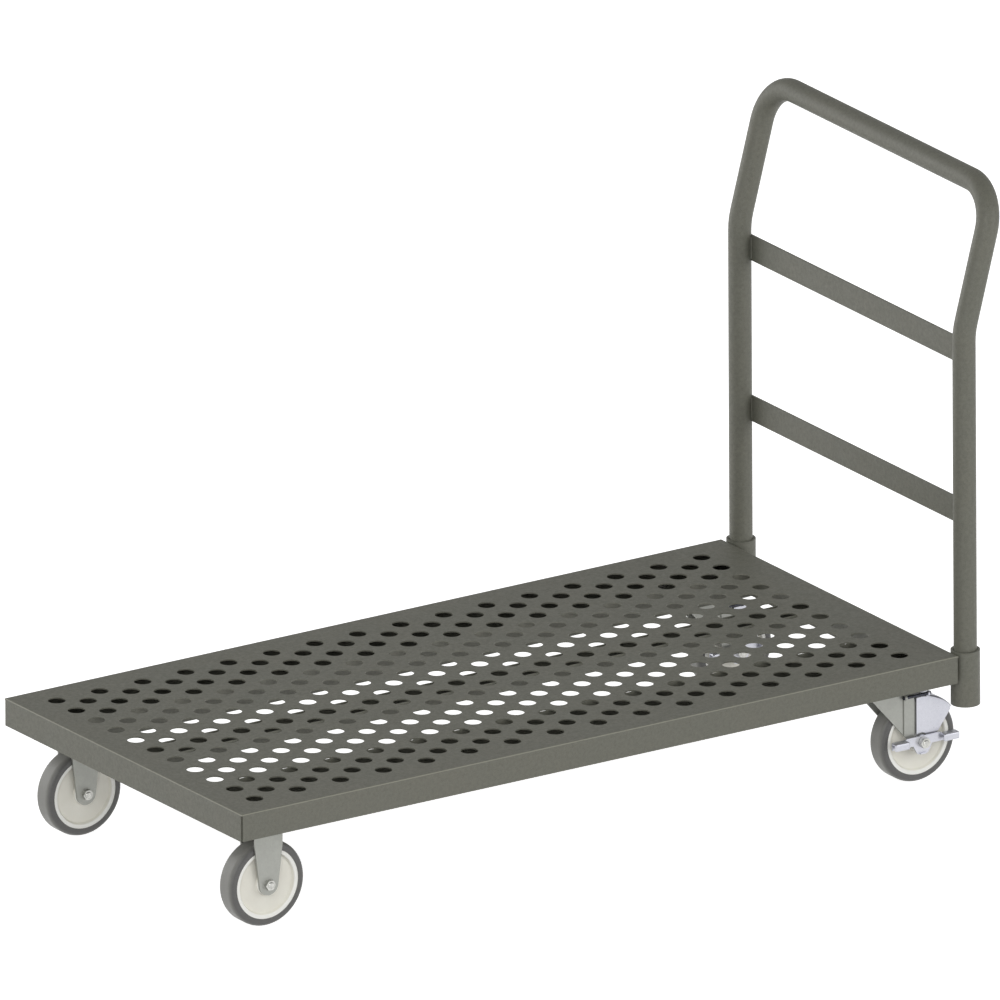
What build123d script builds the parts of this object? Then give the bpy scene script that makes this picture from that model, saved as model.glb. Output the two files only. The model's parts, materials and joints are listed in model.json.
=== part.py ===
from build123d import *
from math import cos, radians, tan
import os

# Flatbed platform truck: a perforated steel deck on two rigid and two swivel casters, with a
# tubular push handle that lifts out of two sockets at the rear.
# Millimetres. +Z is up and +X points at the handle end, the rear. The origin is on the floor,
# under the middle of the truck's overall length and width. Left is -Y, the left hand of a person
# who stands at the handle and pushes.

# --- Deck --------------------------------------------------------------------
deck_length = 1219.2
deck_width = 609.6
deck_top_z = 197.65
flange_height = 40.7
sheet = 1.9                       # 14 gauge steel sheet, used for the deck and its channels
bend_radius = 2.1                 # outside radius of the folded edges
corner_seam = 2.4                 # open seam between two flanges at each vertical corner

hole_diameter = 25.4
column_pitch = 36.54
row_pitch = 50.8
column_count = 31
long_column_rows = 11             # every other column is half a row pitch lower and one hole shorter
front_margin = 55.7               # front edge to the first column of holes

# --- Channels welded under the deck ------------------------------------------
side_channel_inner_y = 166.3      # outside of the inner web, from the centre line
side_channel_depth = 38.9         # deck top to the underside that the casters bolt to
center_channel_width = 50.8
center_channel_depth = 20.0       # deck top to the underside
cross_channel_width = 38.1        # across each end of the deck, between the side channels
channel_end_gap = 0.6             # clears the inside radius of the deck's folds
channel_side_gap = 0.6

# --- Handle and its sockets --------------------------------------------------
pipe_od = 33.4                    # 1 inch pipe
pipe_wall = 3.4
socket_od = 42.16                 # 1-1/4 inch pipe
socket_id = 35.05
socket_top_above_deck = 2.0
socket_length = 81.3
socket_gap = 1.1                  # weld gap between the deck's rear flange and the sockets
socket_stop_thickness = 3.2
socket_drain_radius = 6.0
handle_bend_height = 478.5        # deck top to the vertex of the bend in each post
handle_corner_height = 679.4      # deck top to the centre line of the top bar
handle_lean = 15.0                # degrees that the upper posts lean to the rear
handle_bend_radius = 110.0
handle_corner_radius = 60.0
crossbar_height = 38.1
crossbar_thickness = 3.2
crossbar_set_back = 11.5          # post centre line to the bar's front face
lower_crossbar_height = 197.4     # deck top to the bar's middle
upper_crossbar_height = 438.8
weld_gap = 0.02

# --- Casters -----------------------------------------------------------------
caster_x_from_middle = 529.8      # fork centre line or kingpin, from the middle of the deck
caster_y = 234.5
plate_length = 114.3              # along X
plate_width = 101.6
plate_thickness = 3.2
plate_corner_radius = 9.0
bolt_spacing_x = 88.9
bolt_spacing_y = 76.2
bolt_radius = 4.76                # 3/8 inch bolts throughout
bolt_hole_radius = 5.1
axle_hole_radius = 4.86
hex_flats = 14.3
hex_head_height = 6.0
nut_height = 8.2
jam_nut_height = 5.6
washer_radius = 8.6
washer_thickness = 1.6
hex_corner_chamfer = 1.1
hex_corner_chamfer_drop = 0.64
shank_chamfer = 0.8

# --- Wheels ------------------------------------------------------------------
wheel_radius = 63.5
wheel_half_width = 15.9
tire_shoulder_radius = 7.0
core_radius = 52.0
core_rim_half_width = 15.2
hub_radius = 16.0
hub_half_width = 16.0
dish_half_width = 12.0            # half the core's thickness inside its raised rim
dish_radius = 44.4                # outer edge of the dish
dish_rise_radius = 46.8           # foot of the raised rim's flat
dish_corner_radius = 0.9
bushing_radius = 10.0
bushing_bore_radius = 6.40        # runs on the sleeve with 0.05 mm clearance
sleeve_radius = 6.35
sleeve_bore_radius = 4.85
press_gap = 0.02

# --- Forks -------------------------------------------------------------------
leg_inner_y = 16.5
leg_thickness = 3.0
leg_outer_y = leg_inner_y + leg_thickness
fork_bend_radius = 4.0
rigid_leg_width = 46.9
rigid_leg_taper_z = 121.0
rigid_boss_radius = 16.0
swivel_trail = 46.2               # kingpin to axle
swivel_boss_radius = 13.0
swivel_leg_front_x = -40.9        # from the kingpin, at the crown
swivel_leg_rear_x = 30.0

# --- Swivel head -------------------------------------------------------------
crown_gap = 9.4                   # mounting plane to the top of the crown
crown_radius = 38.0
skirt_thickness = 2.0
skirt_height = 5.2
boss_radius = 33.5
boss_height = 2.4
upper_ball_circle = 25.0
upper_ball_radius = 2.7
upper_ball_count = 20
lower_ball_circle = 11.7
lower_ball_radius = 1.85
lower_ball_count = 14
lower_ball_in_crown = 0.25        # how far the lower balls reach into the crown
lower_ball_in_race = 0.5          # and into the race below them
ball_clearance = 0.32
kingpin_radius = 7.0
kingpin_clearance = 0.07
kingpin_head_radius = 11.0
kingpin_head_height = 2.0
kingpin_length = 28.0
kingpin_end_chamfer = 1.0
lower_race_radius = 15.8
lower_race_height = 3.5
kingpin_nut_flats = 19.0
kingpin_nut_height = 6.0

# --- Side brake on each swivel caster, on the -Y side of the wheel -----------
bracket_front_x = 19.0            # from the kingpin
bracket_rear_x = 36.0
bracket_thickness = 2.0
bracket_bottom_z = 74.8
brake_pin_y = 24.0                # from the wheel's centre plane
brake_pin_z = 133.2
brake_pin_radius = 2.4
brake_pin_front_x = 17.3
brake_pin_rear_x = 60.8
brake_pin_head_radius = 3.0
brake_pin_head_length = 1.2
knuckle_radius = 3.9
knuckle_end_radius = 1.3
knuckle_clearance = 0.06
bracket_knuckle = (17.6, 21.6)    # start and end along X, from the kingpin
shoe_knuckle = (56.5, 60.5)
shoe_inner_y = 20.8
shoe_thickness = 2.0
shoe_face_radius = 65.5           # edge of the flat fan, from the axle
shoe_flange_radius = 66.0         # inside of the flange that hangs over the tread
shoe_flange_inner_y = 14.0
shoe_flange_start = 39.5          # degrees above +X, about the axle
shoe_flange_end = 79.0
shoe_flange_wall = 6.0            # how far the flange's wall overlaps the fan
shoe_flange_corner_radius = 2.8
shoe_tip_radius = 4.0
shoe_front_x = -7.0               # from the axle
shoe_bottom = 4.5
shoe_bottom_rear_x = 25.5
shoe_top_rear_x = 70.4
shoe_top = 66.0
shoe_cam_clearance_radius = 12.5
shoe_tab_start = 55.0             # height above the axle where the tab to the hinge pin begins
lever_inner_y = 25.6
lever_thickness = 2.5
lever_pad_depth = 8.9
lever_arm_front_x = -51.5         # from the axle
lever_arm_rear_x = 57.5
lever_body_front_x = -29.0
lever_body_rear_x = 33.0
lever_arm_bottom = -4.0
lever_arm_top = 7.5               # top of the foot pads
lever_arm_step = 1.0              # the arm behind a pad stays this much lower
lever_body_top = 9.0
lever_lobe_half_width = 9.0
lever_lobe_drop = 17.5
lever_lobe_flare = 8.0
lever_lobe_overlap = 2.0          # how far the lobe and the pads run into the arm and the body
lever_lobe_corner_radius = 4.0
lever_lip_half_width = 5.0
lever_lip_depth = 2.5
lever_lip_thickness = 2.0
lever_body_corner_radius = 3.0
lever_pad_corner_radius = 2.5
cam_radius = 10.0
cam_leg_gap = 0.4
lever_nut_gap = 0.4
lever_clearance = 0.06
bolt_end_length = 1.3

# --- Positions that follow from the sizes above ------------------------------
handle_lean_offset = (handle_corner_height - handle_bend_height) * tan(radians(handle_lean))
rear_overhang = socket_gap + socket_od / 2 + handle_lean_offset + pipe_od / 2
deck_x = -rear_overhang / 2
front_edge_x = deck_x - deck_length / 2
rear_edge_x = deck_x + deck_length / 2
channel_reach = deck_length / 2 - sheet - channel_end_gap
post_x = rear_edge_x + socket_gap + socket_od / 2
post_y = (deck_width - pipe_od) / 2
socket_bottom_z = deck_top_z + socket_top_above_deck - socket_length
mount_z = deck_top_z - side_channel_depth
plate_bottom_z = mount_z - plate_thickness
crown_top_z = mount_z - crown_gap
crown_bottom_z = crown_top_z - leg_thickness
axle_z = wheel_radius
front_x = deck_x - caster_x_from_middle
rear_x = deck_x + caster_x_from_middle
shoe_outer_y = shoe_inner_y + shoe_thickness
lever_outer_y = lever_inner_y + lever_thickness

parts = {}


def bar(x_range, y_range, z_range):
    """Rectangular block between two limits on each axis."""
    limits = (x_range, y_range, z_range)
    size = [high - low for low, high in limits]
    middle = [(low + high) / 2 for low, high in limits]
    return Pos(*middle) * Box(*size)


def disc(radius, z_range):
    """Upright cylinder on the Z axis between two heights."""
    low, high = z_range
    return Pos(0, 0, (low + high) / 2) * Cylinder(radius, high - low)


def ring(outer, inner, z_range):
    return disc(outer, z_range) - disc(inner, z_range)


def along_y(shape):
    """Turn a shape built along +Z so that it lies along -Y."""
    return Rot(90, 0, 0) * shape


def along_x(shape):
    """Turn a shape built along +Z so that it lies along +X."""
    return Rot(0, 90, 0) * shape


def hexagon(flats, z_range):
    """Hexagonal prism with its corners chamfered at both ends."""
    low, high = z_range
    prism = Pos(0, 0, low) * extrude(RegularPolygon(flats / 2, 6, major_radius=False), high - low)
    envelope = disc(flats / (2 * cos(radians(30))), z_range)
    rims = envelope.edges().filter_by(GeomType.CIRCLE)
    return prism & chamfer(rims, hex_corner_chamfer, hex_corner_chamfer_drop)


def nut(flats, hole_radius, z_range):
    return hexagon(flats, z_range) - disc(hole_radius, z_range)


def bolt(flats, head_height, radius, length):
    """Hex bolt whose head sits below Z = 0 and whose shank rises to Z = length."""
    shank = disc(radius, (0, length))
    shank = chamfer(shank.edges().group_by(Axis.Z)[-1], shank_chamfer)
    return hexagon(flats, (-head_height, 0)) + shank


def one_solid(shape):
    """The single solid inside a boolean result."""
    solids = shape.solids()
    if len(solids) != 1:
        raise ValueError(f"expected one solid, found {len(solids)}")
    return solids[0]


# --- Deck --------------------------------------------------------------------
def hole_centers():
    centers = []
    for column in range(column_count):
        short = column % 2
        rows = long_column_rows - short
        x = front_edge_x + front_margin + column * column_pitch
        for row in range(rows):
            y = (row - (rows - 1) / 2) * row_pitch
            centers.append((x, y))
    return centers


def folded_box(length, width, height, radius, open_top):
    """Box on Z = 0 with its long and short edges rounded at the folded side."""
    box = Box(length, width, height, align=(Align.CENTER, Align.CENTER, Align.MIN))
    if open_top:
        folds = box.edges().filter_by(Axis.X).group_by(Axis.Z)[0]
    else:
        folds = box.faces().sort_by(Axis.Z)[-1].edges()
    return fillet(folds, radius)


def deck_pan():
    inside_length = deck_length - 2 * sheet
    inside_width = deck_width - 2 * sheet
    outer = folded_box(deck_length, deck_width, flange_height, bend_radius, False)
    inner = folded_box(inside_length, inside_width, flange_height, bend_radius - sheet, False)
    pan = Pos(deck_x, 0, deck_top_z - flange_height) * (outer - Pos(0, 0, -sheet) * inner)
    seam_top = deck_top_z - bend_radius
    seam_bottom = deck_top_z - flange_height
    for end in (-1, 1):
        for side in (-1, 1):
            seam = Box(2 * corner_seam, 2 * corner_seam, seam_top - seam_bottom)
            place = Pos(deck_x + end * deck_length / 2, side * deck_width / 2, (seam_top + seam_bottom) / 2)
            pan = pan - place * seam
    punch = Cylinder(hole_diameter / 2, 4 * sheet)
    return one_solid(pan - [Pos(x, y, deck_top_z) * punch for x, y in hole_centers()])


def channel(length, width, height):
    """U channel, open at the top, with its floor on Z = 0."""
    outer = folded_box(length, width, height, bend_radius, True)
    inner = folded_box(length + 2, width - 2 * sheet, height, bend_radius - sheet, True)
    return outer - Pos(0, 0, sheet) * inner


def side_channel(side):
    outer_y = deck_width / 2 - sheet - channel_side_gap
    width = outer_y - side_channel_inner_y
    y = side * (outer_y + side_channel_inner_y) / 2
    shape = Pos(deck_x, y, mount_z) * channel(2 * channel_reach, width, side_channel_depth - sheet)
    bolt_hole = Cylinder(bolt_hole_radius, 4 * sheet)
    for x in (front_x, rear_x):
        for hole_x, hole_y in plate_bolt_places():
            shape -= Pos(x + hole_x, side * caster_y + hole_y, mount_z) * bolt_hole
    return one_solid(shape)


def cross_channel(end):
    length = 2 * (side_channel_inner_y - weld_gap)
    shape = Rot(0, 0, 90) * channel(length, cross_channel_width, side_channel_depth - sheet)
    return Pos(deck_x + end * (channel_reach - cross_channel_width / 2), 0, mount_z) * shape


def center_channel():
    length = 2 * (channel_reach - cross_channel_width - weld_gap)
    shape = channel(length, center_channel_width, center_channel_depth - sheet)
    return Pos(deck_x, 0, deck_top_z - center_channel_depth) * shape


# --- Handle ------------------------------------------------------------------
def handle_socket(side):
    tube = ring(socket_od / 2, socket_id / 2, (socket_bottom_z, socket_bottom_z + socket_length))
    return Pos(post_x, side * post_y, 0) * tube


def socket_stops():
    stop_top_z = socket_bottom_z + socket_stop_thickness
    stop = ring(socket_id / 2 - weld_gap, socket_drain_radius, (socket_bottom_z, stop_top_z))
    return [Pos(post_x, side * post_y, 0) * stop for side in (-1, 1)]


def handle_tube():
    foot_z = socket_bottom_z + socket_stop_thickness
    bend_z = deck_top_z + handle_bend_height
    top_z = deck_top_z + handle_corner_height
    top_x = post_x + handle_lean_offset
    path = FilletPolyline(
        (post_x, -post_y, foot_z),
        (post_x, -post_y, bend_z),
        (top_x, -post_y, top_z),
        (top_x, post_y, top_z),
        (post_x, post_y, bend_z),
        (post_x, post_y, foot_z),
        radius=[handle_bend_radius, handle_corner_radius, handle_corner_radius, handle_bend_radius],
    )
    section = Pos(post_x, -post_y, foot_z) * (Circle(pipe_od / 2) - Circle(pipe_od / 2 - pipe_wall))
    return one_solid(sweep(section, path=path))


def crossbar(height_above_deck):
    """Flat bar behind the posts' centre lines, with its ends coped to the pipe."""
    z = deck_top_z + height_above_deck
    front = post_x + crossbar_set_back
    reach = post_y - crossbar_thickness
    shape = bar(
        (front, front + crossbar_thickness),
        (-reach, reach),
        (z - crossbar_height / 2, z + crossbar_height / 2),
    )
    for side in (-1, 1):
        shape -= Pos(post_x, side * post_y, z) * Cylinder(pipe_od / 2 + weld_gap, 2 * crossbar_height)
    return one_solid(shape)


# --- Caster pieces in the caster's own frame: fork centre line or kingpin on Z, floor at Z = 0 ---
def plate_bolt_places():
    return [(x * bolt_spacing_x / 2, y * bolt_spacing_y / 2) for x in (-1, 1) for y in (-1, 1)]


def mounting_plate():
    plate = Pos(0, 0, mount_z - plate_thickness / 2) * Box(plate_length, plate_width, plate_thickness)
    plate = fillet(plate.edges().filter_by(Axis.Z), plate_corner_radius)
    for x, y in plate_bolt_places():
        plate -= Pos(x, y, mount_z) * Cylinder(bolt_hole_radius, 4 * plate_thickness)
    return plate


def fork_strap(top_z, outline):
    """Inverted U strap, 3 mm thick, cut to a side outline drawn in X and Z."""
    height = top_z
    outer = Pos(0, height / 2) * Rectangle(2 * leg_outer_y, height)
    outer = fillet(outer.vertices().group_by(Axis.Y)[-1], fork_bend_radius)
    inner = Pos(0, height / 2 - leg_thickness) * Rectangle(2 * leg_inner_y, height)
    inner = fillet(inner.vertices().group_by(Axis.Y)[-1], fork_bend_radius - leg_thickness)
    section = Plane.YZ * (outer - inner)
    strap = extrude(section, plate_length, both=True)
    side = extrude(Plane.XZ * outline, plate_length, both=True)
    return strap & side


def rigid_fork():
    top_z = plate_bottom_z
    blade_height = top_z - rigid_leg_taper_z
    blade = Pos(0, rigid_leg_taper_z + blade_height / 2) * Rectangle(rigid_leg_width, blade_height)
    boss = Pos(0, axle_z) * Circle(rigid_boss_radius)
    outline = make_hull(blade.edges() + boss.edges())
    fork = fork_strap(top_z, outline)
    return one_solid(fork - Pos(0, 0, axle_z) * along_y(Cylinder(axle_hole_radius, 3 * leg_outer_y)))


def swivel_fork():
    head_half = (swivel_leg_rear_x - swivel_leg_front_x) / 2
    head_x = (swivel_leg_rear_x + swivel_leg_front_x) / 2
    head = Pos(head_x, crown_top_z - leg_thickness / 2) * Rectangle(2 * head_half, leg_thickness)
    boss = Pos(swivel_trail, axle_z) * Circle(swivel_boss_radius)
    outline = make_hull(head.edges() + boss.edges())
    fork = fork_strap(crown_top_z, outline)
    fork += disc(crown_radius, (crown_bottom_z, crown_top_z))
    skirt_top = crown_top_z + skirt_height
    fork += ring(crown_radius, crown_radius - skirt_thickness, (crown_bottom_z, skirt_top))
    fork -= disc(kingpin_radius + kingpin_clearance, (crown_bottom_z - 1, crown_top_z + 1))
    fork -= upper_groove()
    fork -= lower_groove()
    axle_hole = along_y(Cylinder(axle_hole_radius, 3 * leg_outer_y))
    return one_solid(fork - Pos(swivel_trail, 0, axle_z) * axle_hole)


def upper_ball_z():
    boss_bottom_z = plate_bottom_z - boss_height
    return (boss_bottom_z + crown_top_z) / 2


def lower_ball_z():
    return crown_bottom_z - lower_ball_radius + lower_ball_in_crown


def upper_groove():
    return Pos(0, 0, upper_ball_z()) * Torus(upper_ball_circle, upper_ball_radius + ball_clearance)


def lower_groove():
    return Pos(0, 0, lower_ball_z()) * Torus(lower_ball_circle, lower_ball_radius + ball_clearance)


def swivel_plate():
    plate = mounting_plate()
    plate += disc(boss_radius, (plate_bottom_z - boss_height, plate_bottom_z))
    plate -= disc(kingpin_radius + press_gap, (plate_bottom_z - 2 * boss_height, mount_z))
    plate -= disc(kingpin_head_radius + press_gap, (mount_z - kingpin_head_height - press_gap, mount_z + 1))
    return one_solid(plate - upper_groove())


def kingpin():
    head = disc(kingpin_head_radius, (mount_z - kingpin_head_height, mount_z - press_gap))
    shank = disc(kingpin_radius, (mount_z - kingpin_length, mount_z - kingpin_head_height))
    shank = chamfer(shank.edges().group_by(Axis.Z)[0], kingpin_end_chamfer)
    return head + shank


def lower_race_top_z():
    return lower_ball_z() - lower_ball_radius + lower_ball_in_race


def lower_race():
    top = lower_race_top_z()
    race = ring(lower_race_radius, kingpin_radius + press_gap, (top - lower_race_height, top))
    return one_solid(race - lower_groove())


def kingpin_nut():
    top = lower_race_top_z() - lower_race_height
    return nut(kingpin_nut_flats, kingpin_radius + press_gap, (top - kingpin_nut_height, top))


def bearing_balls():
    balls = []
    for count, circle, radius, z in (
        (upper_ball_count, upper_ball_circle, upper_ball_radius, upper_ball_z()),
        (lower_ball_count, lower_ball_circle, lower_ball_radius, lower_ball_z()),
    ):
        for turn in range(count):
            balls.append(Rot(0, 0, 360 / count * turn) * Pos(circle, 0, z) * Sphere(radius))
    return balls


# --- Wheel pieces, on an axle along Y through the origin ---------------------
def turned(profile):
    """Revolve a profile drawn with X as radius and Y as distance along the axle."""
    return revolve(profile, Axis.Y)


def tire():
    depth = wheel_radius - core_radius
    profile = Pos(core_radius + depth / 2, 0) * Rectangle(depth, 2 * wheel_half_width)
    profile = fillet(profile.vertices().group_by(Axis.X)[-1], tire_shoulder_radius)
    return turned(profile)


def wheel_core():
    """Moulded core: hub, dished disc and raised rim."""
    outside = [
        (bushing_radius + press_gap, hub_half_width),
        (hub_radius, hub_half_width),
        (hub_radius + 1.6, dish_half_width),
        (dish_radius, dish_half_width - 1.4),
        (dish_rise_radius, core_rim_half_width),
        (core_radius - press_gap, core_rim_half_width),
    ]
    mirrored = [(radius, -y) for radius, y in reversed(outside)]
    profile = make_face(Polyline(outside + mirrored, close=True))
    dish = [corner for corner in profile.vertices() if hub_radius + 1 < corner.X < core_radius - 1]
    return turned(fillet(dish, dish_corner_radius))


def wheel_bushing():
    return along_y(ring(bushing_radius, bushing_bore_radius, (-hub_half_width, hub_half_width)))


def axle_sleeve():
    half = leg_inner_y - press_gap
    return along_y(ring(sleeve_radius, sleeve_bore_radius, (-half, half)))


def axle_bolt(reach):
    """Bolt with its head on the +Y leg and its end at -reach."""
    shape = bolt(hex_flats, hex_head_height, bolt_radius, leg_outer_y + reach)
    return Pos(0, leg_outer_y, 0) * along_y(shape)


def axle_nut(start_y, height):
    return along_y(nut(hex_flats, bolt_radius + press_gap, (start_y, start_y + height)))


# --- Brake pieces. Bracket and pin: kingpin on Z. Shoe and lever: axle through the origin ---
def brake_pin():
    shaft = along_x(disc(brake_pin_radius, (brake_pin_front_x, brake_pin_rear_x)))
    for start, outward in ((brake_pin_front_x, -1), (brake_pin_rear_x, 1)):
        span = sorted((start, start + outward * brake_pin_head_length))
        head = disc(brake_pin_head_radius, span)
        head = chamfer(head.edges().filter_by(GeomType.CIRCLE), brake_pin_head_length / 4)
        shaft += along_x(head)
    return Pos(0, -brake_pin_y, brake_pin_z) * shaft


def knuckle(span):
    """Eye round the hinge pin, rounded at both ends."""
    eye = disc(knuckle_radius, span)
    eye = fillet(eye.edges().filter_by(GeomType.CIRCLE), knuckle_end_radius)
    return Pos(0, -brake_pin_y, brake_pin_z) * along_x(eye)


def pin_bore():
    bore = disc(brake_pin_radius + knuckle_clearance, (bracket_front_x - 5, brake_pin_rear_x + 5))
    return Pos(0, -brake_pin_y, brake_pin_z) * along_x(bore)


def brake_bracket():
    """Strap up the outside of the leg, behind the pin, with an eye round the pin's front end."""
    strap = bar(
        (bracket_front_x, bracket_rear_x),
        (-leg_outer_y - bracket_thickness, -leg_outer_y),
        (bracket_bottom_z, brake_pin_z + brake_pin_radius),
    )
    return one_solid(strap + knuckle(bracket_knuckle) - pin_bore())


def brake_shoe():
    """Fan-shaped side plate, a curved flange over the tread and a knuckle for the hinge pin."""
    fan = make_face(
        Polyline(
            (shoe_front_x, shoe_bottom),
            (shoe_front_x, shoe_top),
            (shoe_top_rear_x, shoe_top),
            (shoe_bottom_rear_x, shoe_bottom),
            close=True,
        )
    )
    fan = fan & Circle(shoe_face_radius)
    rear_tip = fan.vertices().sort_by(Axis.X)[-1]
    fan = fillet(rear_tip, shoe_tip_radius) - Circle(shoe_cam_clearance_radius)
    plate = Pos(0, -shoe_inner_y, 0) * extrude(Plane.XZ * fan, shoe_thickness)
    flange_outer = shoe_flange_radius + shoe_thickness
    wall_middle = (flange_outer - shoe_flange_wall / 2, -(shoe_inner_y + shoe_outer_y) / 2)
    wall = Pos(*wall_middle) * Rectangle(shoe_flange_wall, shoe_thickness)
    roof_middle = (shoe_flange_radius + shoe_thickness / 2, (shoe_flange_inner_y - shoe_outer_y) / 2)
    roof = Pos(*roof_middle) * Rectangle(shoe_thickness, shoe_outer_y + shoe_flange_inner_y)
    profile = wall + roof
    outer_corner = profile.vertices().group_by(Axis.X)[-1].sort_by(Axis.Y)[0]
    profile = fillet(outer_corner, shoe_flange_corner_radius)
    flange = revolve(profile, Axis.Y, revolution_arc=shoe_flange_end - shoe_flange_start)
    flange = Rot(0, -shoe_flange_end, 0) * flange
    shoe = Pos(swivel_trail, 0, axle_z) * (plate + flange)
    tab = bar(shoe_knuckle, (-shoe_outer_y, -shoe_inner_y), (axle_z + shoe_tab_start, brake_pin_z))
    shoe = shoe + tab + knuckle(shoe_knuckle)
    return one_solid(shoe - pin_bore())


def brake_lever():
    """Rocker on the axle with a foot pad at each end and a cam behind it."""
    face = (-lever_outer_y, -lever_inner_y)
    pad_front_y = -lever_outer_y - lever_pad_depth
    arm_top = lever_arm_top - lever_arm_step
    arm = bar((lever_arm_front_x, lever_arm_rear_x), face, (lever_arm_bottom, arm_top))
    body = bar((lever_body_front_x, lever_body_rear_x), face, (lever_arm_bottom, lever_body_top))
    body = fillet(body.edges().filter_by(Axis.Y).group_by(Axis.Z)[-1], lever_body_corner_radius)
    lobe_root = lever_lobe_half_width + lever_lobe_flare
    lobe = make_face(
        Polyline(
            (-lobe_root, lever_arm_bottom + lever_lobe_overlap),
            (-lever_lobe_half_width, -lever_lobe_drop),
            (lever_lobe_half_width, -lever_lobe_drop),
            (lobe_root, lever_arm_bottom + lever_lobe_overlap),
            close=True,
        )
    )
    lobe = fillet(lobe.vertices().group_by(Axis.Y)[0], lever_lobe_corner_radius)
    lip = bar(
        (-lever_lip_half_width, lever_lip_half_width),
        (-lever_outer_y - lever_lip_depth, -lever_inner_y),
        (-lever_lobe_drop, lever_lip_thickness - lever_lobe_drop),
    )
    lever = arm + body + lip
    lever += Pos(0, -lever_inner_y, 0) * extrude(Plane.XZ * lobe, lever_thickness)
    pads = (
        (lever_arm_front_x, lever_body_front_x + lever_lobe_overlap),
        (lever_body_rear_x - lever_lobe_overlap, lever_arm_rear_x),
    )
    for span in pads:
        pad = bar(span, (pad_front_y, -lever_inner_y), (lever_arm_bottom + 1, lever_arm_top))
        top_edge = pad.edges().filter_by(Axis.X).group_by(Axis.Y)[0].group_by(Axis.Z)[-1]
        pad = fillet(top_edge, lever_pad_corner_radius)
        pad = fillet(pad.edges().filter_by(Axis.Z).group_by(Axis.Y)[0], lever_pad_corner_radius)
        hollow = bar(
            (span[0] - 1, span[1] + 1),
            (pad_front_y + lever_thickness, -lever_outer_y),
            (lever_arm_bottom, lever_arm_top - lever_thickness),
        )
        lever += pad - hollow
    cam = disc(cam_radius, (leg_outer_y + cam_leg_gap, lever_inner_y))
    lever += along_y(cam)
    lever -= along_y(Cylinder(bolt_radius + lever_clearance, 4 * lever_outer_y))
    return one_solid(lever)


# --- Assembly ----------------------------------------------------------------
parts["deck_pan"] = deck_pan()
parts["center_channel"] = center_channel()
parts["socket_stops"] = socket_stops()
parts["handle_tube"] = handle_tube()
parts["upper_crossbar"] = crossbar(upper_crossbar_height)
parts["lower_crossbar"] = crossbar(lower_crossbar_height)

for end_name, end in (("front", -1), ("rear", 1)):
    parts[f"{end_name}_cross_channel"] = cross_channel(end)

washer_bottom_z = mount_z + sheet
washer_top_z = washer_bottom_z + washer_thickness
nut_top_z = washer_top_z + nut_height
caster_bolt_length = nut_top_z + bolt_end_length - plate_bottom_z
caster_bolt = Pos(0, 0, plate_bottom_z) * bolt(hex_flats, hex_head_height, bolt_radius, caster_bolt_length)
caster_washer = ring(washer_radius, bolt_radius + press_gap, (washer_bottom_z, washer_top_z))
caster_nut = nut(hex_flats, bolt_radius + press_gap, (washer_top_z, nut_top_z))

sides = {"left": -1, "right": 1}
caster_bolts = []
caster_nuts = []
caster_washers = []
front_axle_bolts = []
front_axle_nuts = []
kingpin_nuts = []

for side_name, side in sides.items():
    parts[f"side_channel_{side_name}"] = side_channel(side)
    parts[f"handle_socket_{side_name}"] = handle_socket(side)

    for x in (front_x, rear_x):
        for bolt_x, bolt_y in plate_bolt_places():
            column = Pos(x + bolt_x, side * caster_y + bolt_y, 0)
            caster_bolts.append(column * caster_bolt)
            caster_washers.append(column * caster_washer)
            caster_nuts.append(column * caster_nut)

    rigid = Pos(front_x, side * caster_y, 0)
    rigid_axle = rigid * Pos(0, 0, axle_z)
    rigid_reach = leg_outer_y + jam_nut_height + bolt_end_length
    name = f"front_{side_name}"
    parts[f"{name}_caster_plate"] = rigid * mounting_plate()
    parts[f"{name}_fork"] = rigid * rigid_fork()
    parts[f"{name}_axle_sleeve"] = rigid_axle * axle_sleeve()
    front_axle_bolts.append(rigid_axle * axle_bolt(rigid_reach))
    front_axle_nuts.append(rigid_axle * axle_nut(leg_outer_y, jam_nut_height))

    swivel = Pos(rear_x, side * caster_y, 0)
    swivel_axle = swivel * Pos(swivel_trail, 0, axle_z)
    brake_nut_y = lever_outer_y + lever_nut_gap
    brake_reach = brake_nut_y + nut_height + bolt_end_length
    name = f"rear_{side_name}"
    parts[f"{name}_swivel_plate"] = swivel * swivel_plate()
    parts[f"{name}_kingpin"] = swivel * kingpin()
    parts[f"{name}_lower_race"] = swivel * lower_race()
    kingpin_nuts.append(swivel * kingpin_nut())
    parts[f"{name}_bearing_balls"] = [swivel * ball for ball in bearing_balls()]
    parts[f"{name}_fork"] = swivel * swivel_fork()
    parts[f"{name}_axle_sleeve"] = swivel_axle * axle_sleeve()
    parts[f"{name}_axle_bolt"] = swivel_axle * axle_bolt(brake_reach)
    parts[f"{name}_axle_nut"] = swivel_axle * axle_nut(brake_nut_y, nut_height)
    parts[f"{name}_brake_bracket"] = swivel * brake_bracket()
    parts[f"{name}_brake_pin"] = swivel * brake_pin()
    parts[f"{name}_brake_shoe"] = swivel * brake_shoe()
    parts[f"{name}_brake_lever"] = swivel_axle * brake_lever()

    for end_name, axle in (("front", rigid_axle), ("rear", swivel_axle)):
        parts[f"{end_name}_{side_name}_tire"] = axle * tire()
        parts[f"{end_name}_{side_name}_wheel_core"] = axle * wheel_core()
        parts[f"{end_name}_{side_name}_wheel_bushing"] = axle * wheel_bushing()

parts["caster_bolts"] = caster_bolts
parts["caster_nuts"] = caster_nuts
parts["caster_lock_washers"] = caster_washers
parts["front_axle_bolts"] = front_axle_bolts
parts["front_axle_nuts"] = front_axle_nuts
parts["kingpin_nuts"] = kingpin_nuts

os.makedirs("parts", exist_ok=True)
for name, shape in parts.items():
    if isinstance(shape, list):
        shape = Compound(children=shape)
    export_step(shape, os.path.join("parts", f"{name}.step"))
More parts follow.
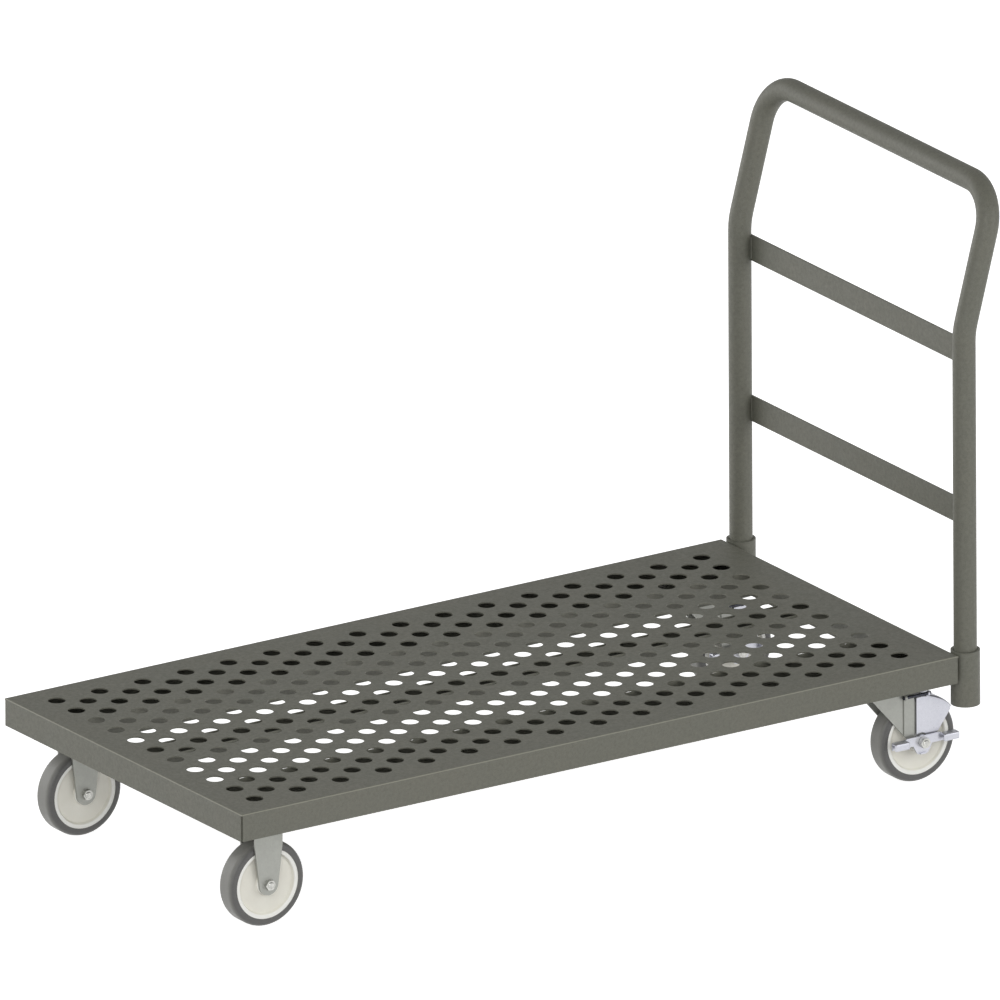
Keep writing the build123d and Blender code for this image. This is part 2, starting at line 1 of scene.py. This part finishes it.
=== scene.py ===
import json
import math

import bmesh
import bpy
from mathutils import Matrix, Vector

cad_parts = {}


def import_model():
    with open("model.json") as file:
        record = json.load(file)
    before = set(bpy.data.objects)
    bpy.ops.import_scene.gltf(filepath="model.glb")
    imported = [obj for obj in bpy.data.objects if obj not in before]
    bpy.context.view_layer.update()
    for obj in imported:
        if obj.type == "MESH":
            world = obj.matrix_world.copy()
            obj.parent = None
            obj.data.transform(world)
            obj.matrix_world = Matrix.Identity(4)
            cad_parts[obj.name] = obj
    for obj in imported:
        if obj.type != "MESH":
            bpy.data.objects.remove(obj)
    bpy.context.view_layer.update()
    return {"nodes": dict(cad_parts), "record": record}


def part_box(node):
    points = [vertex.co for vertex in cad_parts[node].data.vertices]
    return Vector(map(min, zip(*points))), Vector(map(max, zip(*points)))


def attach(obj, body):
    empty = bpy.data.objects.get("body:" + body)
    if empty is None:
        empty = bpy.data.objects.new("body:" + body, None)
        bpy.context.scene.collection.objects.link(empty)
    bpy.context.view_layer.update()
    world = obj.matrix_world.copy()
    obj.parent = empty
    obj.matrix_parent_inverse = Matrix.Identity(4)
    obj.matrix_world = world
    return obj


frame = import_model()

# Looks for the flatbed platform truck. Metres. +Z is up, +X points at the handle end and -Y is the near
# side in the main view.

scene = bpy.context.scene


# --- Shader building blocks ------------------------------------------------------------------------
class Look:
    """One material, with short calls for the nodes that every finish here is made of."""

    def __init__(self, name):
        self.material = bpy.data.materials.new(name)
        self.material.use_nodes = True
        self.nodes = self.material.node_tree.nodes
        self.links = self.material.node_tree.links
        self.shader = self.nodes["Principled BSDF"]
        self.place = self.nodes.new("ShaderNodeTexCoord").outputs["Object"]

    def link(self, source, target):
        self.links.new(source, target)

    def set(self, **values):
        for name, value in values.items():
            self.shader.inputs[name.replace("_", " ")].default_value = value

    def stretched(self, scale):
        """Object coordinates scaled apart, for brushed or drawn grain."""
        mapping = self.nodes.new("ShaderNodeMapping")
        mapping.inputs["Scale"].default_value = scale
        self.link(self.place, mapping.inputs["Vector"])
        return mapping.outputs["Vector"]

    def noise(self, scale, detail=2.0, roughness=0.5, vector=None):
        node = self.nodes.new("ShaderNodeTexNoise")
        node.inputs["Scale"].default_value = scale
        node.inputs["Detail"].default_value = detail
        node.inputs["Roughness"].default_value = roughness
        self.link(vector or self.place, node.inputs["Vector"])
        return node.outputs["Fac"]

    def cells(self, scale):
        node = self.nodes.new("ShaderNodeTexVoronoi")
        node.inputs["Scale"].default_value = scale
        self.link(self.place, node.inputs["Vector"])
        split = self.nodes.new("ShaderNodeSeparateColor")
        self.link(node.outputs["Color"], split.inputs["Color"])
        return split.outputs["Red"]

    def spread(self, value, low, high, from_low=0.3, from_high=0.7):
        """Map a texture value onto low to high."""
        node = self.nodes.new("ShaderNodeMapRange")
        node.inputs["From Min"].default_value = from_low
        node.inputs["From Max"].default_value = from_high
        node.inputs["To Min"].default_value = low
        node.inputs["To Max"].default_value = high
        self.link(value, node.inputs["Value"])
        return node.outputs["Result"]

    def mix(self, amount, first, second):
        """Colour mix. Each colour is a socket or a tuple of three."""
        node = self.nodes.new("ShaderNodeMix")
        node.data_type = "RGBA"
        factor, a, b = node.inputs[0], node.inputs[6], node.inputs[7]
        for value, socket in ((amount, factor), (first, a), (second, b)):
            if isinstance(value, (int, float)):
                socket.default_value = value
            elif isinstance(value, tuple):
                socket.default_value = (*value, 1.0)
            else:
                self.link(value, socket)
        return node.outputs[2]

    def away_from(self, coordinate, axis, middle):
        """Distance of a texture coordinate from a middle value along one axis."""
        split = self.nodes.new("ShaderNodeSeparateXYZ")
        self.link(self.nodes["Texture Coordinate"].outputs[coordinate], split.inputs["Vector"])
        offset = self.nodes.new("ShaderNodeMath")
        offset.operation = "SUBTRACT"
        offset.inputs[1].default_value = middle
        self.link(split.outputs[axis], offset.inputs[0])
        size = self.nodes.new("ShaderNodeMath")
        size.operation = "ABSOLUTE"
        self.link(offset.outputs["Value"], size.inputs[0])
        return size.outputs["Value"]

    def bump(self, height, strength, distance, base=None):
        node = self.nodes.new("ShaderNodeBump")
        node.inputs["Strength"].default_value = strength
        node.inputs["Distance"].default_value = distance
        self.link(height, node.inputs["Height"])
        if base is not None:
            self.link(base, node.inputs["Normal"])
        return node.outputs["Normal"]

    def finish(self, color=None, roughness=None, normal=None):
        for value, name in ((color, "Base Color"), (roughness, "Roughness"), (normal, "Normal")):
            if value is not None:
                self.link(value, self.shader.inputs[name])
        return self.material


def powder_coat(name, fold_highlight):
    """Grey-olive powder coat: fine orange peel, speckle, faint colour drift and a painted highlight along
    the folds.
    """
    look = Look(name)
    speckle = look.noise(1400, 3, 0.6)
    mottle = look.noise(210, 4, 0.6)
    drift = look.noise(14, 3, 0.5)
    paint = look.mix(look.spread(drift, 0, 1), (0.128, 0.129, 0.103), (0.139, 0.134, 0.104))
    paint = look.mix(look.spread(mottle, 0, 0.80), paint, (0.082, 0.084, 0.066))
    paint = look.mix(look.spread(speckle, 0, 0.62), paint, (0.190, 0.190, 0.156))
    # Painted highlight: the paint turns lighter where the normal tilts halfway between up and sideways,
    # along the folded edges.
    slope = look.away_from("Normal", "Z", 0.62)
    paint = look.mix(look.spread(slope, fold_highlight, 0, 0.22, 0.36), paint, (0.300, 0.296, 0.240))
    rough = look.spread(mottle, 0.46, 0.60)
    grain = look.bump(look.noise(900, 2, 0.5), 0.22, 0.00035)
    grain = look.bump(mottle, 0.10, 0.0006, grain)
    look.set(Metallic=0.0, Specular_IOR_Level=0.42)
    return look.finish(paint, rough, grain)


def zinc_plate(name, light, dark, metallic, rough_low, rough_high):
    """Zinc plating over stamped steel: small crystal patches, drawn lines and soft stains."""
    look = Look(name)
    patches = look.cells(420)
    stain = look.noise(45, 4, 0.6)
    lines = look.noise(60, 3, 0.6, look.stretched((4.0, 4.0, 60.0)))
    plate = look.mix(look.spread(patches, 0, 0.45, 0, 1), light, dark)
    plate = look.mix(look.spread(stain, 0, 0.55), plate, dark)
    rough = look.spread(lines, rough_low, rough_high)
    grain = look.bump(lines, 0.05, 0.0004)
    grain = look.bump(look.noise(1600, 2, 0.5), 0.05, 0.0002, grain)
    look.set(Metallic=metallic, Specular_IOR_Level=0.5)
    return look.finish(plate, rough, grain)


def bright_steel(name, light, dark, roughness):
    """Hardware steel with fine turning marks and handling stains."""
    look = Look(name)
    stain = look.noise(160, 4, 0.6)
    marks = look.noise(500, 2, 0.5, look.stretched((1.0, 6.0, 1.0)))
    metal = look.mix(look.spread(stain, 0, 1), light, dark)
    rough = look.spread(marks, roughness * 0.8, roughness * 1.3)
    look.set(Metallic=0.95)
    return look.finish(metal, rough, look.bump(marks, 0.06, 0.0002))


def grey_rubber():
    """Non-marking grey tire rubber: satin, faintly grained, a little scuffed, with painted shade on the side
    walls.
    """
    look = Look("tire_rubber")
    scuff = look.noise(120, 5, 0.65)
    fine = look.noise(1500, 2, 0.5)
    tread = look.mix(look.spread(scuff, 0, 1), (0.215, 0.213, 0.196), (0.243, 0.241, 0.222))
    # Painted shade: the side walls, whose normals point along the axle, take a much darker copy of the tread
    # colour.
    painted_shade_wall = look.mix(look.spread(scuff, 0, 1), (0.074, 0.073, 0.070), (0.092, 0.090, 0.087))
    turned = look.away_from("Normal", "Y", 0.0)
    rubber = look.mix(look.spread(turned, 0, 1, 0.35, 0.9), tread, painted_shade_wall)
    rubber = look.mix(look.spread(fine, 0, 0.25), rubber, (0.20, 0.20, 0.195))
    rough = look.spread(scuff, 0.38, 0.52)
    look.set(Metallic=0.0, Specular_IOR_Level=0.5)
    return look.finish(rubber, rough, look.bump(fine, 0.12, 0.0003))


def moulded_core():
    """Cream moulded plastic with slight flow marks and a painted highlight on the rim and hub faces."""
    look = Look("core_plastic")
    flow = look.noise(28, 3, 0.55)
    fine = look.noise(900, 2, 0.5)
    plastic = look.mix(look.spread(flow, 0, 1), (0.835, 0.820, 0.738), (0.775, 0.755, 0.672))
    # Painted highlight: the rim ring and hub faces near the core's sides turn paler.
    rim_highlight_mask = look.away_from("Generated", "Y", 0.5)
    plastic = look.mix(look.spread(rim_highlight_mask, 0, 1, 0.42, 0.46), plastic, (0.93, 0.925, 0.88))
    rough = look.spread(fine, 0.28, 0.38)
    look.set(Metallic=0.0, Specular_IOR_Level=0.5)
    return look.finish(plastic, rough, look.bump(fine, 0.05, 0.0002))


def bearing_plastic():
    look = Look("bearing_plastic")
    flow = look.noise(200, 3, 0.5)
    plastic = look.mix(look.spread(flow, 0, 1), (0.030, 0.030, 0.032), (0.050, 0.050, 0.052))
    return look.finish(plastic, look.spread(flow, 0.40, 0.55), look.bump(flow, 0.08, 0.0002))


materials = {
    "frame_paint": powder_coat("powder_coat", 0.0),
    "fork_zinc": zinc_plate("fork_zinc", (0.380, 0.386, 0.355), (0.312, 0.316, 0.291), 0.45, 0.38, 0.50),
    "brake_zinc": zinc_plate("brake_zinc", (0.55, 0.555, 0.600), (0.47, 0.475, 0.525), 0.80, 0.26, 0.36),
    "fastener_zinc": bright_steel("fastener_zinc", (0.56, 0.56, 0.53), (0.40, 0.40, 0.38), 0.30),
    "hardened_steel": bright_steel("hardened_steel", (0.60, 0.60, 0.61), (0.45, 0.44, 0.43), 0.18),
    "dark_steel": bright_steel("dark_steel", (0.050, 0.052, 0.065), (0.025, 0.025, 0.030), 0.28),
    "tire_rubber": grey_rubber(),
    "core_plastic": moulded_core(),
    "bushing_nylon": bearing_plastic(),
}

for part in frame["record"]["subparts"]:
    mesh = frame["nodes"][part["node"]].data
    mesh.materials.clear()
    mesh.materials.append(materials[part["material_slot"]])

folded = frame["nodes"]["deck_pan"].data
folded.materials.clear()
# The deck pan's copy of the powder coat carries the painted fold highlight.
folded.materials.append(powder_coat("powder_coat_fold_highlight", 0.75))


# --- Weld beads -------------------------------------------------------------------------------------
bead_sides = 10
ripple_share = 0.55               # ripple pitch over bead radius
rings_per_ripple = 3
ripple_stretch = 1.6
ripple_depth = 0.14               # how much of the radius the ripples take
socket_bead_radius = 0.0024
crossbar_bead_radius = 0.0018
channel_bead_radius = 0.0018
fork_bead_radius = 0.0016
bead_end_margin = 0.002           # bare length left at the end of an upright bead
socket_gore = (0.0018, 0.0128)    # bead centre from the flange along X and from the socket along Y
channel_stitches = 8
stitch_length = 0.03
first_stitch = 0.10               # from the deck's front edge
last_stitch_inset = 0.23          # what the row of stitches leaves of the deck's length


def weld_bead(name, start, end, radius, body, slot):
    """Rippled bead along a straight line, half sunk into the joint it fills."""
    ripple = radius * ripple_share
    start, end = Vector(start), Vector(end)
    length = (end - start).length
    rings = max(6, int(length / ripple) * rings_per_ripple)
    along = (end - start).normalized()
    across = along.orthogonal().normalized()
    other = along.cross(across)
    builder = bmesh.new()
    loops = []
    for step in range(rings + 1):
        share = step / rings
        wave = abs(math.sin(math.pi * share * length / ripple / ripple_stretch))
        taper = min(1.0, math.sqrt(max(0.02, min(share, 1 - share) * length / radius)))
        size = radius * (1 - ripple_depth + ripple_depth * wave) * taper
        middle = start.lerp(end, share)
        ring = []
        for side in range(bead_sides):
            angle = 2 * math.pi * side / bead_sides
            outward = across * math.cos(angle) + other * math.sin(angle)
            ring.append(builder.verts.new(middle + size * outward))
        loops.append(ring)
    for first, second in zip(loops, loops[1:]):
        for side in range(bead_sides):
            following = (side + 1) % bead_sides
            builder.faces.new((first[side], first[following], second[following], second[side]))
    builder.faces.new(reversed(loops[0]))
    builder.faces.new(loops[-1])
    bmesh.ops.recalc_face_normals(builder, faces=builder.faces)
    mesh = bpy.data.meshes.new(name)
    builder.to_mesh(mesh)
    builder.free()
    for polygon in mesh.polygons:
        polygon.use_smooth = True
    mesh.materials.append(materials[slot])
    piece = bpy.data.objects.new(name, mesh)
    scene.collection.objects.link(piece)
    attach(piece, body)


def box_middle(node):
    low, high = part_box(node)
    return (low + high) / 2


def socket_welds():
    """An upright bead on the inner side of each socket, where it meets the deck's rear flange."""
    low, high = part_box("deck_pan")
    from_flange, from_socket = socket_gore
    x = high.x + from_flange
    for side in ("left", "right"):
        socket_y = box_middle(f"handle_socket_{side}").y
        y = socket_y - math.copysign(from_socket, socket_y)
        foot, top = (x, y, low.z + bead_end_margin), (x, y, high.z - 0.003)
        weld_bead(f"socket_weld_{side}", foot, top, socket_bead_radius, "deck", "frame_paint")


def crossbar_welds():
    """Upright beads where the ends of each crossbar meet the posts, in front and behind."""
    for name in ("upper", "lower"):
        low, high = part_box(f"{name}_crossbar")
        for side, edge in (("left", -1), ("right", 1)):
            post_y = box_middle(f"handle_socket_{side}").y
            corners = (("front", low.x - 0.0008, 0.0128), ("back", high.x + 0.0006, 0.0088))
            for face, x, reach in corners:
                y = post_y - edge * reach
                foot, top = (x, y, low.z + bead_end_margin), (x, y, high.z - bead_end_margin)
                bead = f"{name}_crossbar_weld_{side}_{face}"
                weld_bead(bead, foot, top, crossbar_bead_radius, "handle", "frame_paint")


def channel_welds():
    """Stitches between each side channel's inner web and the underside of the deck."""
    deck_low, deck_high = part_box("deck_pan")
    pitch = (deck_high.x - deck_low.x - last_stitch_inset) / (channel_stitches - 1)
    for side, edge in (("left", -1), ("right", 1)):
        low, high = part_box(f"side_channel_{side}")
        y = high.y + 0.0004 if edge < 0 else low.y - 0.0004
        z = high.z - 0.0014
        for index in range(channel_stitches):
            x = deck_low.x + first_stitch + index * pitch
            start, end = (x, y, z), (x + stitch_length, y, z)
            weld_bead(f"channel_weld_{side}_{index}", start, end, channel_bead_radius, "deck", "frame_paint")


def fork_welds():
    """Beads along the front and back edges where each rigid fork meets its plate."""
    for side in ("left", "right"):
        low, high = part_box(f"front_{side}_fork")
        for index, x in enumerate((low.x - 0.0004, high.x + 0.0004)):
            start, end = (x, low.y + 0.006, high.z - 0.0012), (x, high.y - 0.006, high.z - 0.0012)
            weld_bead(f"fork_weld_{side}_{index}", start, end, fork_bead_radius, "deck", "fork_zinc")


# --- Floor, light and camera -------------------------------------------------------------------------
def floor():
    look = Look("studio_floor")
    tone = look.noise(3, 3, 0.5)
    pale = look.mix(look.spread(tone, 0, 1), (0.80, 0.80, 0.80), (0.82, 0.82, 0.82))
    look.set(Specular_IOR_Level=0.0, Emission_Color=(1.0, 1.0, 1.0, 1.0), Emission_Strength=0.85)
    look.finish(pale, look.spread(tone, 0.85, 0.95))
    bpy.ops.mesh.primitive_plane_add(size=60, location=(0, 0, -0.0005))
    plane = bpy.context.object
    plane.name = "studio_floor"
    plane.data.materials.append(look.material)
    plane.visible_diffuse = False


def world():
    """Even white surroundings, a little darker overhead and dim below the horizon."""
    sky = bpy.data.worlds.new("studio")
    scene.world = sky
    sky.use_nodes = True
    nodes, links = sky.node_tree.nodes, sky.node_tree.links
    direction = nodes.new("ShaderNodeTexCoord")
    split = nodes.new("ShaderNodeSeparateXYZ")
    height = nodes.new("ShaderNodeMapRange")
    height.inputs["From Min"].default_value = -1.0
    height.inputs["From Max"].default_value = 1.0
    links.new(direction.outputs["Generated"], split.inputs["Vector"])
    links.new(split.outputs["Z"], height.inputs["Value"])
    ramp = nodes.new("ShaderNodeValToRGB")
    ramp.color_ramp.elements[0].color = (0.30, 0.30, 0.30, 1.0)
    ramp.color_ramp.elements[1].color = (0.31, 0.31, 0.31, 1.0)
    for position, strength in ((0.40, 0.42), (0.52, 0.70)):
        stop = ramp.color_ramp.elements.new(position)
        stop.color = (strength, strength, strength, 1.0)
    links.new(height.outputs["Result"], ramp.inputs["Fac"])
    links.new(ramp.outputs["Color"], nodes["Background"].inputs["Strength"])
    nodes["Background"].inputs["Color"].default_value = (1.0, 1.0, 1.0, 1.0)


def area_light(name, place, target, size, power):
    data = bpy.data.lights.new(name, "AREA")
    data.shape = "SQUARE"
    data.size = size
    data.energy = power
    lamp = bpy.data.objects.new(name, data)
    lamp.location = place
    lamp.rotation_euler = (Vector(target) - Vector(place)).to_track_quat("-Z", "Y").to_euler()
    scene.collection.objects.link(lamp)


def camera():
    """Parallel view from the front left corner, looking down, with a slight roll."""
    azimuth, elevation, roll = math.radians(-33.4143), math.radians(19.2664), math.radians(0.2357)
    right = Vector((math.cos(azimuth), math.sin(azimuth), 0))
    back = Vector((
        math.sin(azimuth) * math.cos(elevation),
        -math.cos(azimuth) * math.cos(elevation),
        math.sin(elevation),
    ))
    level, upright = right, back.cross(right)
    right = level * math.cos(roll) - upright * math.sin(roll)
    up = upright * math.cos(roll) + level * math.sin(roll)
    low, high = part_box("deck_pan")
    deck_top = Vector(((low.x + high.x) / 2, 0, high.z))
    aim = deck_top + 0.026283 * right + 0.25102 * up
    data = bpy.data.cameras.new("camera")
    data.type = "ORTHO"
    data.ortho_scale = 1.41763
    data.clip_end = 60
    holder = bpy.data.objects.new("camera", data)
    turn = Matrix((right, up, back)).transposed()
    holder.matrix_world = Matrix.Translation(aim + 4 * back) @ turn.to_4x4()
    scene.collection.objects.link(holder)
    scene.camera = holder


socket_welds()
crossbar_welds()
channel_welds()
fork_welds()
floor()
world()
area_light("key", (-3.2, -3.6, 2.6), (0, 0, 0.3), 3.0, 84)
area_light("left", (-2.2, 4.0, 1.4), (0, 0, 0.4), 3.0, 66)
area_light("fill", (2.6, -4.0, 1.6), (0, 0, 0.3), 3.0, 52)
camera()
scene.view_settings.view_transform = "Standard"
